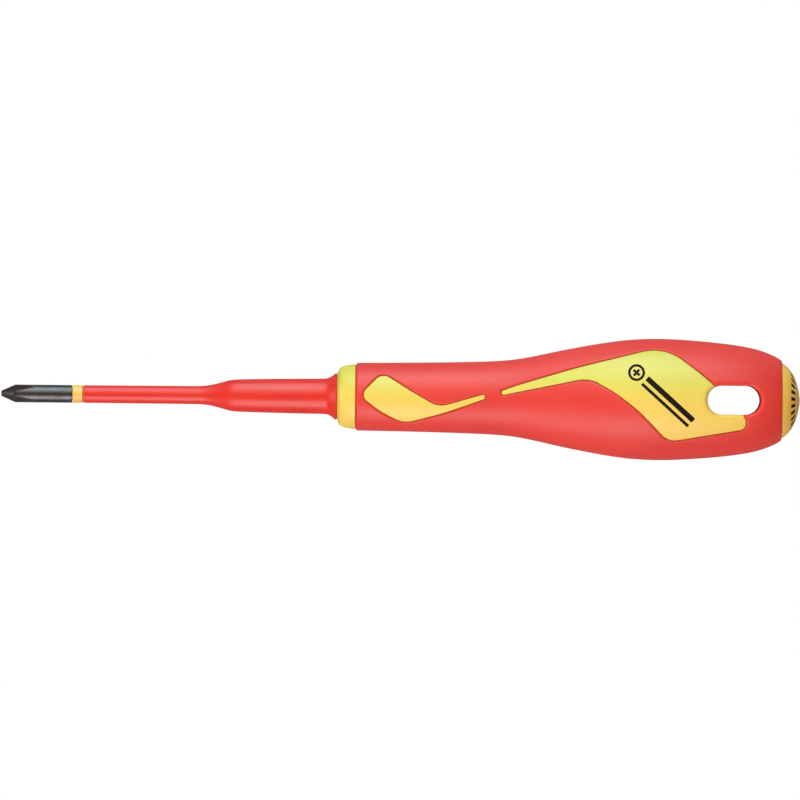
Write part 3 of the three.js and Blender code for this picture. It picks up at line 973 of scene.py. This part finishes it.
def end_cap():
    outline = silhouette("end_cap")
    outline = outline[outline[:, 1] > CAP_SPIGOT_RADIUS * 0.1]
    outline = outline[outline[:, 0] > outline[0, 0] + CAP_SPIGOT_LENGTH - 0.01]
    edge = outline[0]
    face = GRIP_END + HAIRLINE
    pole = (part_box("end_cap")[1].x / MM, 0)
    beyond = outline[-1] * (1, -1)
    dome = spline(np.vstack((outline, pole)), 6, after=beyond)
    bounds = [np.interp(-r, -dome[:, 1], dome[:, 0]) for r in CAP_MARK_RADII]
    dome = np.vstack((dome, np.column_stack((bounds, CAP_MARK_RADII))))
    dome = dome[np.argsort(-dome[:, 1])]
    corners = [
        (edge[0] - CAP_SPIGOT_LENGTH, 0, 0),
        (edge[0] - CAP_SPIGOT_LENGTH, CAP_SPIGOT_RADIUS, 0.2),
        (face, CAP_SPIGOT_RADIUS, 0),
        (face, edge[1], 0.12),
        *plain_corners(dome, (*edge, 0.3)),
    ]
    sides = 8 * CAP_MARKS
    points, faces = turned(rounded_path(corners, closed=False), sides)
    centres = np.array([np.mean(points[f], axis=0) for f in faces])
    radius = np.hypot(centres[:, 1], centres[:, 2])
    step = np.arctan2(centres[:, 1], centres[:, 2]) / (2 * math.pi) * CAP_MARKS % 1
    low, high = CAP_MARK_RADII
    on_dome = centres[:, 0] > edge[0]
    ink = on_dome & (radius > low) & (radius < high) & (step < CAP_MARK_SHARE)
    piece = make_piece("end_cap_dome", points, faces, [CAP_YELLOW, INK], "cap_plastic", "end_cap")
    paint(piece, ink)


front_outline = rounded_path(FRONT_PANEL, FINE)
rear_outline = rounded_path(REAR_PANEL, FINE)
front_panel, rear_panel = (moved_out(p, PANEL_GROWTH) for p in (front_outline, rear_outline))
slot = slot_path(0, FINE)


def grip():
    outlines = front_outline, rear_outline
    front_window, rear_window = (moved_out(p, WINDOW_GROWTH) for p in outlines)
    liner = slot_path(LINER_THICKNESS, GRID)
    edges = [
        (front_window, GRIP_LIP, False),
        (rear_window, GRIP_LIP, False),
        (slot, SLOT_FILLET, False),
    ]
    loops = [to_domain(p) for p in (front_window, rear_window, slot, liner)]
    guides = [to_domain(g) for p, radius, _ in edges for g in edge_guides(p, radius, True)]
    sheet = Sheet([whole_surface(SKIN_START, SKIN_END), *loops], guides)
    open_to = sheet.inside(front_window) | sheet.inside(rear_window) | sheet.inside(slot)
    sheet.keep(~open_to, through=sheet.inside(liner))
    half = sheet.half(edges, GRIP_THICKNESS, (SKIN_START, SKIN_END))
    n = len(sheet.domain)
    lip = REAR_GROOVE_START + HAIRLINE
    rows = corner_rows(half, sheet.end_row(SKIN_START), n, GRIP_START, FRONT_ROUND, lip)
    half.bridge(rows[::-1])
    half.bridge(corner_rows(half, sheet.end_row(SKIN_END), n, GRIP_END, REAR_ROUND))
    piece = make_skin("soft_grip", half.mirrored(), [GRIP_RED], "red_grip", "grip")
    # Painted shade on the grip's lip, in the groove behind the collar.
    paint_joint_shade(piece, REAR_GROOVE_START, GRIP_START)


def corner_rows(half, skin_row, n, end, rounding, lip=None):
    """Rows of points over one end of the grip, from its skin to its inside. A lip reaches on from it
    to another station, under a groove."""
    x = half.points[skin_row[0], 0]
    angles = half.angles(skin_row)
    radius = handle_radius(x)
    rows = [skin_row]
    steps = 4
    for turn in math.pi / 2 * np.arange(1, steps + 1) / steps:
        at = x + (end - x) * math.sin(turn)
        rows.append(half.ring(at, radius - rounding * (1 - math.cos(turn)), angles))
    inner_row = skin_row + n
    if lip:
        rows += [half.ring(at, radius - REAR_GROOVE_DEPTH, angles) for at in (end, lip)]
        end = lip
    rows.append(half.ring(end, radius - GRIP_THICKNESS, half.angles(inner_row)))
    return [*rows, inner_row]


def mark_outlines():
    """The printed mark's ring, as its two circles, and its cross and bars, in plan."""
    centre = np.array(MARK_CENTRE)
    along = np.array((math.cos(MARK_ANGLE), math.sin(MARK_ANGLE)))
    across = np.array((-along[1], along[0]))

    def placed(outline):
        return centre + outline[:, :1] * along + outline[:, 1:] * across

    end = MARK_LENGTH / 2
    middle = MARK_RING_RADIUS - end
    radii = MARK_RING_RADIUS, MARK_RING_RADIUS - MARK_LINE
    ring = [placed(round_ended(middle, radius, radius, 0.2)) for radius in radii]
    arm, half = MARK_RING_RADIUS - 1.7 * MARK_LINE, MARK_LINE / 2
    quarter = ((half, -arm), (half, -half), (arm, -half))
    turns = ((1, 0), (0, 1), (-1, 0), (0, -1))
    cross = [(middle + c * x - s * y, s * x + c * y, 0) for c, s in turns for x, y in quarter]
    shapes = [placed(rounded_path(cross, FINE))]
    start = middle + MARK_RING_RADIUS + 1.2 * MARK_LINE
    for offset, width in MARK_BARS:
        low, high = offset - width / 2, offset + width / 2
        box = ((start, low), (end, low), (end, high), (start, high))
        shapes.append(placed(rounded_path([(*corner, width * 0.2) for corner in box], FINE)))
    return ring, shapes


def panels(name, outline, node, marks=None):
    """A yellow panel on the upper face and its mirror image on the lower one."""
    edges = [(outline, PANEL_LIP, True)]
    guides = edge_guides(outline, PANEL_LIP, False)
    loops = [outline]
    at_slot = within(outline, slot).any()
    if at_slot:
        edges.append((slot, SLOT_FILLET, False))
        guides += edge_guides(slot, SLOT_FILLET, True)
        loops.append(slot)
    ring, shapes = marks or ([], [])
    loops += [*ring, *shapes]
    sheet = Sheet([to_domain(p) for p in loops], [to_domain(g) for g in guides])
    kept = sheet.inside(outline)
    if at_slot:
        kept &= ~sheet.inside(slot)
    ink = np.zeros(len(kept), bool)
    if ring:
        ink |= sheet.inside(ring[0]) & ~sheet.inside(ring[1])
    for shape in shapes:
        ink |= sheet.inside(shape)
    sheet.keep(kept, through=np.zeros(len(kept), bool), ink=ink)
    half = sheet.half(edges, PANEL_FLOOR)
    points, normals, faces = half.compact()
    materials = [PANEL_YELLOW, INK] if shapes else [PANEL_YELLOW]
    over = (1, 1, -1)
    upper = points, normals, faces, half.skin, half.ink
    lower = points * over, normals * over, [f[::-1] for f in faces], half.skin, half.ink
    make_skin(name + "_upper", upper, materials, "yellow_plastic", node + "_top")
    make_skin(name + "_lower", lower, materials, "yellow_plastic", node + "_bottom")


def core():
    """The hard handle under the soft skin. It shows in the slot and at the bottom of the joints."""
    end = GRIP_END - MOULD_GAP
    liner_space = slot_path(LINER_THICKNESS + MOULD_GAP, GRID)
    loops = [to_domain(p, CORE_DEPTH) for p in (slot, liner_space, rear_panel)]
    sheet = Sheet([whole_surface(SKIN_START, end), *loops], [], CORE_DEPTH)
    cut = sheet.inside(liner_space) & ~sheet.inside(rear_panel)
    kept = ~(cut | sheet.inside(slot))
    sheet.keep(kept, through=np.ones(len(kept), bool))
    half = sheet.half([], CORE_DEPTH, (SKIN_START, end))
    skin_row = sheet.end_row(SKIN_START)
    angles = half.angles(skin_row)
    nose_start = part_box("front_collar")[0].x / MM + MOULD_GAP
    anchor = ribbed(ANCHOR_SPAN, ANCHOR_RIBS, ANCHOR_RADIUS + MOULD_GAP, ANCHOR_RIB_HEIGHT)
    bore = [
        (nose_start, SPIGOT_RADIUS + MOULD_GAP),
        *spigot(MOULD_GAP),
        (SPIGOT_SPAN[1] + MOULD_GAP, SPIGOT_RADIUS - SPIGOT_GROOVE + MOULD_GAP),
        (SPIGOT_SPAN[1] + MOULD_GAP, 2.9),
        (ANCHOR_SPAN[0] - MOULD_GAP, 2.9),
        (ANCHOR_SPAN[0] - MOULD_GAP, ANCHOR_RADIUS + MOULD_GAP),
        *anchor,
        (ANCHOR_SPAN[1] + MOULD_GAP, ANCHOR_RADIUS + MOULD_GAP),
    ]
    rows = [axis_row(half, bore[-1][0], angles)]
    rows += [half.ring(x, radius, angles, round_section=True) for x, radius in bore[::-1]]
    nose = (nose_start, NOSE_RADIUS), (GRIP_START, NOSE_RADIUS)
    nose += ((GRIP_START, handle_radius(SKIN_START) - CORE_DEPTH),)
    rows += [half.ring(x, radius, angles) for x, radius in nose]
    half.bridge([*rows, skin_row])
    skin_row = sheet.end_row(end)
    angles = half.angles(skin_row)
    socket = CAP_SPIGOT_RADIUS + MOULD_GAP
    floor = end - CAP_SPIGOT_LENGTH - MOULD_GAP
    rows = [skin_row] + [half.ring(x, socket, angles) for x in (end, floor)]
    half.bridge([*rows, axis_row(half, floor, angles)])
    make_skin("handle_body", half.mirrored(), [PANEL_YELLOW], "yellow_plastic", "handle_core")


def axis_row(half, x, angles):
    """One new point on the axis, repeated as a row."""
    return np.repeat(half.ring(x, 0, angles[:1]), len(angles))


blade()
insulation()
collar()
grip()
core()
panels("front_panel", front_panel, "front_inlay")
panels("rear_panel", rear_panel, "rear_inlay", mark_outlines())
end_cap()

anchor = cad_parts["anchor_core"]
anchor.material_slots[0].material = NATURAL

# ---- Stage, light and camera ----

VIEW_WIDTH = 189.68  # what the camera takes in at the tool's axis, in millimetres
VIEW_SHIFT = (-0.11, -0.70)  # its middle, from the middle of the tool's box
VIEW_ROLL = math.radians(0.55)
LENS, SENSOR = 800, 36
MIDDLE = (cad_bounds[0] + cad_bounds[1]) / 2
WORLD_COLOUR, WORLD_LIGHT = (1.0, 0.61, 0.5, 1), 0.37


def split_by_ray(tree, output, seen, unseen):
    """Gives an output one shader for the camera's own rays and another for the light on the tool."""
    mix = tree.nodes.new("ShaderNodeMixShader")
    ray = tree.nodes.new("ShaderNodeLightPath").outputs["Is Camera Ray"]
    for socket, source in zip(mix.inputs, (ray, unseen.outputs[0], seen.outputs[0])):
        tree.links.new(source, socket)
    tree.links.new(mix.outputs[0], tree.nodes[output].inputs["Surface"])


def backdrop():
    """A white world behind, which lights the tool only dimly."""
    world = bpy.data.worlds.new("studio")
    bpy.context.scene.world = world
    world.use_nodes = True
    white, dim = (world.node_tree.nodes.new("ShaderNodeBackground") for _ in range(2))
    white.inputs["Color"].default_value = (1, 1, 1, 1)
    dim.inputs["Color"].default_value = WORLD_COLOUR
    dim.inputs["Strength"].default_value = WORLD_LIGHT
    split_by_ray(world.node_tree, "World Output", white, dim)


def floor():
    """A plain floor just under the tool, white to the camera and pale grey to the tool."""
    half, height = 2.5, cad_bounds[0].z - 0.0002
    corners = [(x, y, height) for x, y in ((-half, -half), (half, -half), (half, half), (-half, half))]
    mesh = bpy.data.meshes.new("studio_floor")
    mesh.from_pydata(corners, [], [(0, 1, 2, 3)])
    material = bpy.data.materials.new("floor_white")
    material.use_nodes = True
    nodes = material.node_tree.nodes
    grey = nodes["Principled BSDF"]
    grey.inputs["Base Color"].default_value = (0.3, 0.3, 0.3, 1)
    grey.inputs["Roughness"].default_value = 0.9
    split_by_ray(material.node_tree, "Material Output", nodes.new("ShaderNodeEmission"), grey)
    mesh.materials.append(material)
    plane = bpy.data.objects.new("studio_floor", mesh)
    bpy.context.scene.collection.objects.link(plane)


def softbox(name, side, tilt, colour, power):
    """A broad light aimed at the tool's middle, tilted from overhead towards a side (x, y)."""
    light = bpy.data.lights.new(name, "AREA")
    light.shape = "RECTANGLE"
    light.size, light.size_y = 0.45, 0.3
    light.energy = power
    light.color = colour
    lamp = bpy.data.objects.new(name, light)
    tilt = math.radians(tilt)
    away = Vector((side[0] * math.sin(tilt), side[1] * math.sin(tilt), math.cos(tilt)))
    distance = 0.6
    lamp.location = MIDDLE + away * distance
    lamp.rotation_mode = "QUATERNION"
    lamp.rotation_quaternion = away.to_track_quat("Z", "X")
    lamp.visible_camera = False
    bpy.context.scene.collection.objects.link(lamp)


def camera():
    data = bpy.data.cameras.new("view_from_above")
    data.lens, data.sensor_width = LENS, SENSOR
    distance = LENS / SENSOR * VIEW_WIDTH * MM
    data.clip_start, data.clip_end = distance * 0.01, distance * 4
    eye = bpy.data.objects.new("view_from_above", data)
    eye.location = (MIDDLE.x + VIEW_SHIFT[0] * MM, MIDDLE.y + VIEW_SHIFT[1] * MM, distance)
    eye.rotation_euler = (0, 0, VIEW_ROLL)
    bpy.context.scene.collection.objects.link(eye)
    bpy.context.scene.camera = eye


backdrop()
floor()
softbox("softbox_far", (0, 1), 68, (0.72, 0.87, 1.0), 2.45)
softbox("softbox_high", (0, 1), 40, (1.0, 0.93, 0.69), 1.2)
softbox("softbox_near", (-0.13, -0.99), 54, (1.0, 0.9, 0.88), 2.55)
softbox("softbox_front", (-1, 0), 75, (1.0, 0.9, 0.88), 1.05)
camera()
bpy.context.scene.view_settings.view_transform = "Standard"
